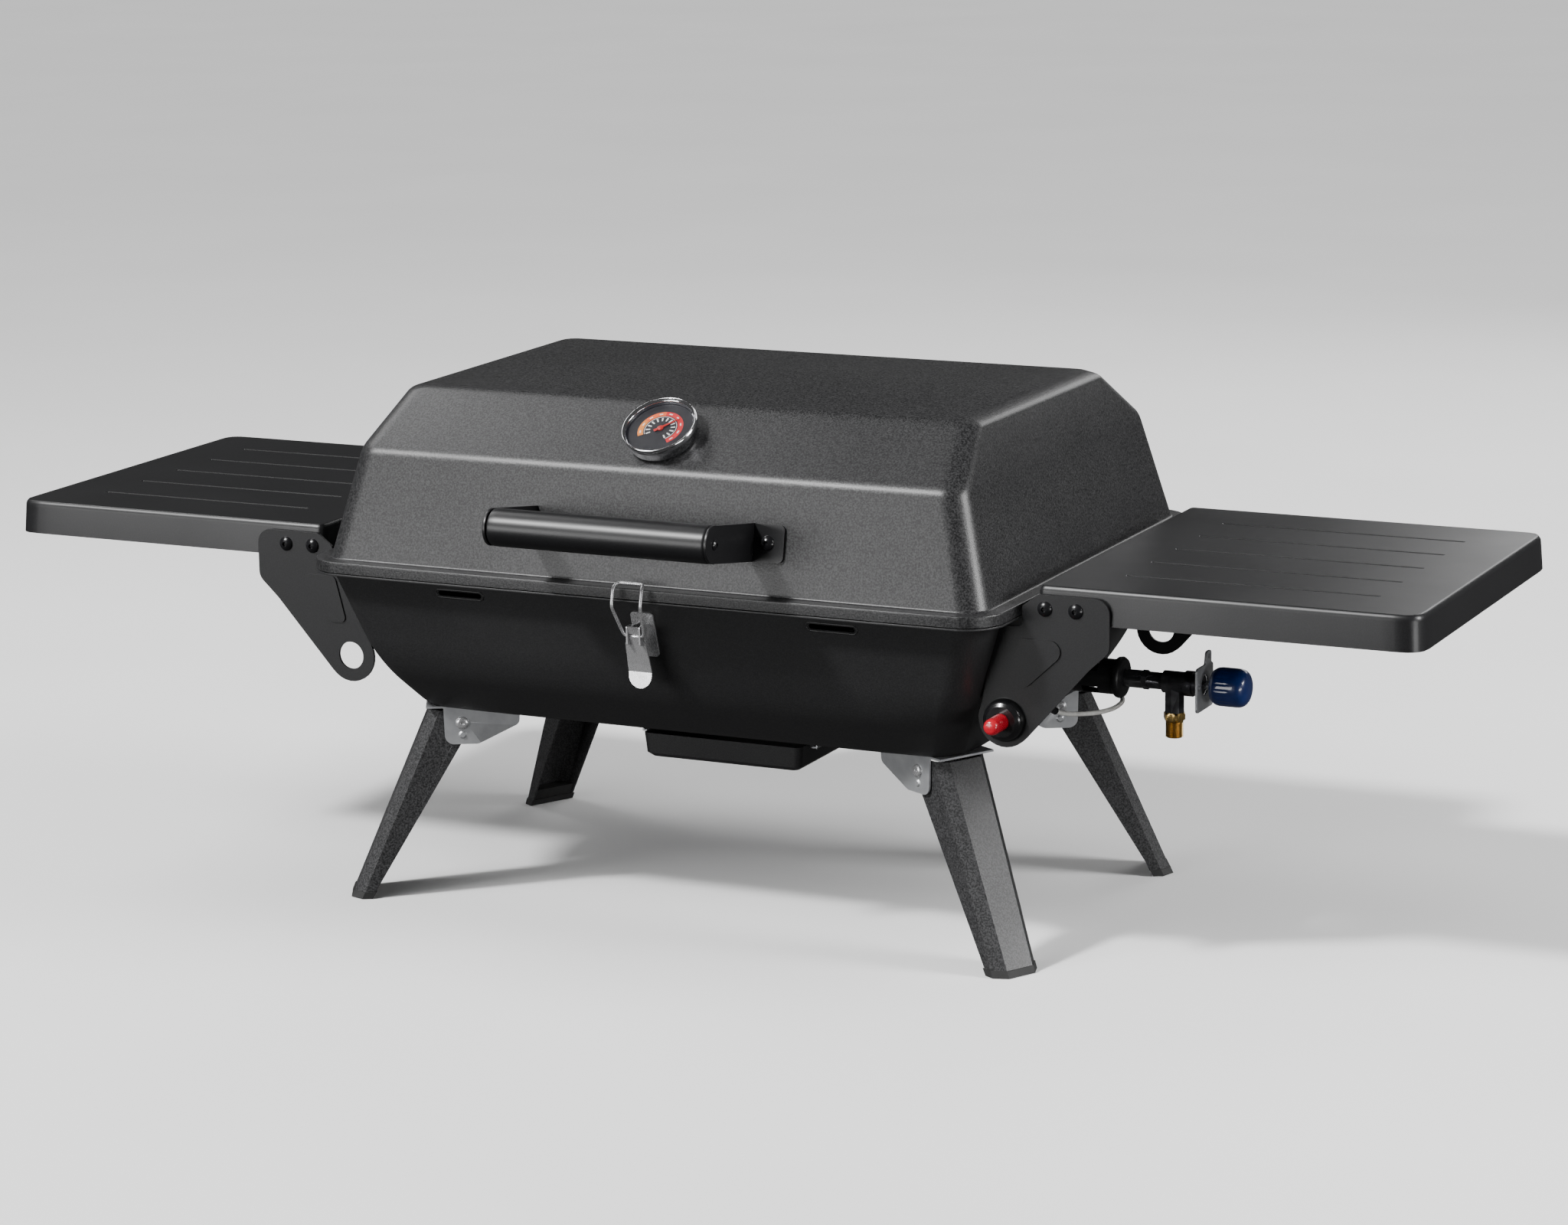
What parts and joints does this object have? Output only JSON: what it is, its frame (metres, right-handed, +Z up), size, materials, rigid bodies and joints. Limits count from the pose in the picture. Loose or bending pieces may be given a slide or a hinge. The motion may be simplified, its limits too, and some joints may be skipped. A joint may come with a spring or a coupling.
{
  "type": "gas barbecue grill",
  "caption": "Portable table-top gas barbecue grill with a latched hinged lid, folding side shelves and legs, a burner with valve and igniter, and a slide-out grease tray.",
  "frame": {"origin": "on the ground under the middle of the whole grill", "axes": "+X along the grill towards the gas valve, -Y to the front where the handle and latch are, +Z up"},
  "size_m": [1.135, 0.4795, 0.3981],
  "materials": {
    "pan_enamel": "satin",
    "lid_coat": "textured matt",
    "arm_paint": "satin",
    "shelf_paint": "satin",
    "leg_coat": "textured matt",
    "galvanised": "dull zinc",
    "stainless": "brushed",
    "black_bolt": "black oxide",
    "rubber": "matt",
    "burner_steel": "heat stained",
    "cast_iron": "seasoned",
    "valve_metal": "cast",
    "brass": "machined",
    "knob_blue": "gloss",
    "black_plastic": "satin",
    "red_plastic": "gloss",
    "lead_white": "satin",
    "ceramic": "glazed",
    "chrome": "polished",
    "dial": "printed",
    "glass": "clear",
    "needle_red": "satin",
    "handle_paint": "satin",
    "tray_enamel": "satin"
  },
  "bodies": {
    "body": {"pan": "pan_enamel", "side_arm_front_left": "arm_paint", "side_arm_front_right": "arm_paint", "side_arm_rear_left": "arm_paint", "side_arm_rear_right": "arm_paint", "shelf_bolts": "black_bolt", "leg_bracket_front_left": "galvanised", "leg_bracket_front_right": "galvanised", "leg_bracket_rear_left": "galvanised", "leg_bracket_rear_right": "galvanised", "leg_pivot_pins": "stainless", "burner": "burner_steel", "flame_tamers": "burner_steel", "cooking_grate": "cast_iron", "grate_supports": "galvanised", "venturi_cup": "arm_paint", "gas_injector": "valve_metal", "valve_body": "valve_metal", "gas_inlet": "brass", "valve_plate": "galvanised", "igniter_body": "black_plastic", "igniter_nut": "black_bolt", "ignition_lead": "lead_white", "spark_electrode": "stainless", "electrode_ceramic": "ceramic", "tray_rails": "galvanised", "pan_hinge_leaves": "black_bolt", "hinge_pins": "stainless", "pan_rivets": "black_bolt", "latch_base": "stainless", "latch_pin": "stainless"},
    "lid": {"lid": "lid_coat", "lid_hinge_leaves": "black_bolt", "lid_rivets": "black_bolt", "handle_tube": "handle_paint", "handle_bracket_left": "handle_paint", "handle_bracket_right": "handle_paint", "handle_screws": "black_bolt", "gauge_case": "chrome", "gauge_dial": "dial", "gauge_needle": "needle_red", "gauge_glass": "glass", "gauge_nut": "stainless"},
    "knob": {"valve_stem": "stainless", "gas_knob": "knob_blue"},
    "igniter_button": {"igniter_button": "red_plastic"},
    "grease_tray": {"grease_tray": "tray_enamel"},
    "latch_lever": {"latch_lever": "stainless"},
    "latch_bail": {"latch_bail": "stainless"},
    "shelf_left": {"shelf_left": "shelf_paint"},
    "shelf_right": {"shelf_right": "shelf_paint"},
    "leg_front_left": {"leg_front_left": "leg_coat", "foot_front_left": "rubber"},
    "leg_front_right": {"leg_front_right": "leg_coat", "foot_front_right": "rubber"},
    "leg_rear_left": {"leg_rear_left": "leg_coat", "foot_rear_left": "rubber"},
    "leg_rear_right": {"leg_rear_right": "leg_coat", "foot_rear_right": "rubber"}
  },
  "joints": [
    {"name": "lid_hinge", "type": "hinge", "parent": "body", "child": "lid", "pos_m": [0, 0.23637, 0.2626], "axis": [-1, 0, 0], "range_deg": [0, 95]},
    {"name": "latch_lever_pivot", "type": "hinge", "parent": "body", "child": "latch_lever", "pos_m": [0, -0.17563, 0.24], "axis": [-1, 0, 0], "range_deg": [0, 120]},
    {"name": "latch_bail_pivot", "type": "hinge", "parent": "latch_lever", "child": "latch_bail", "pos_m": [0, -0.18023, 0.236], "axis": [-1, 0, 0], "range_deg": [-144, 0]},
    {"name": "gas_knob_turn", "type": "hinge", "parent": "body", "child": "knob", "pos_m": [0.365, 0.02437, 0.1865], "axis": [1, 0, 0], "range_deg": [0, 210]},
    {"name": "igniter_press", "type": "slide", "parent": "body", "child": "igniter_button", "axis": [0, 1, 0], "range_m": [0, 0.0045], "stiffness_N_per_m": 600, "springref_m": -0.002},
    {"name": "grease_tray_slide", "type": "slide", "parent": "body", "child": "grease_tray", "axis": [0, -1, 0], "range_m": [0, 0.12]},
    {"name": "shelf_left_fold", "type": "hinge", "parent": "body", "child": "shelf_left", "pos_m": [-0.297, 0.02437, 0.27], "axis": [0, 1, 0], "range_deg": [0, 90]},
    {"name": "shelf_right_fold", "type": "hinge", "parent": "body", "child": "shelf_right", "pos_m": [0.297, 0.02437, 0.27], "axis": [0, -1, 0], "range_deg": [0, 90]},
    {"name": "leg_front_left_fold", "type": "hinge", "parent": "body", "child": "leg_front_left", "pos_m": [-0.199, -0.08363, 0.1368], "axis": [0.4772, -0.8788, 0], "range_deg": [0, 104]},
    {"name": "leg_front_right_fold", "type": "hinge", "parent": "body", "child": "leg_front_right", "pos_m": [0.199, -0.08363, 0.1368], "axis": [0.4772, 0.8788, 0], "range_deg": [0, 104]},
    {"name": "leg_rear_left_fold", "type": "hinge", "parent": "body", "child": "leg_rear_left", "pos_m": [-0.199, 0.13237, 0.1368], "axis": [-0.4772, -0.8788, 0], "range_deg": [0, 104]},
    {"name": "leg_rear_right_fold", "type": "hinge", "parent": "body", "child": "leg_rear_right", "pos_m": [0.199, 0.13237, 0.1368], "axis": [-0.4772, 0.8788, 0], "range_deg": [0, 104]}
  ],
  "couplings": [
    {"joint": "latch_bail_pivot", "follows": "latch_lever_pivot", "ratio": -1.2}
  ]
}
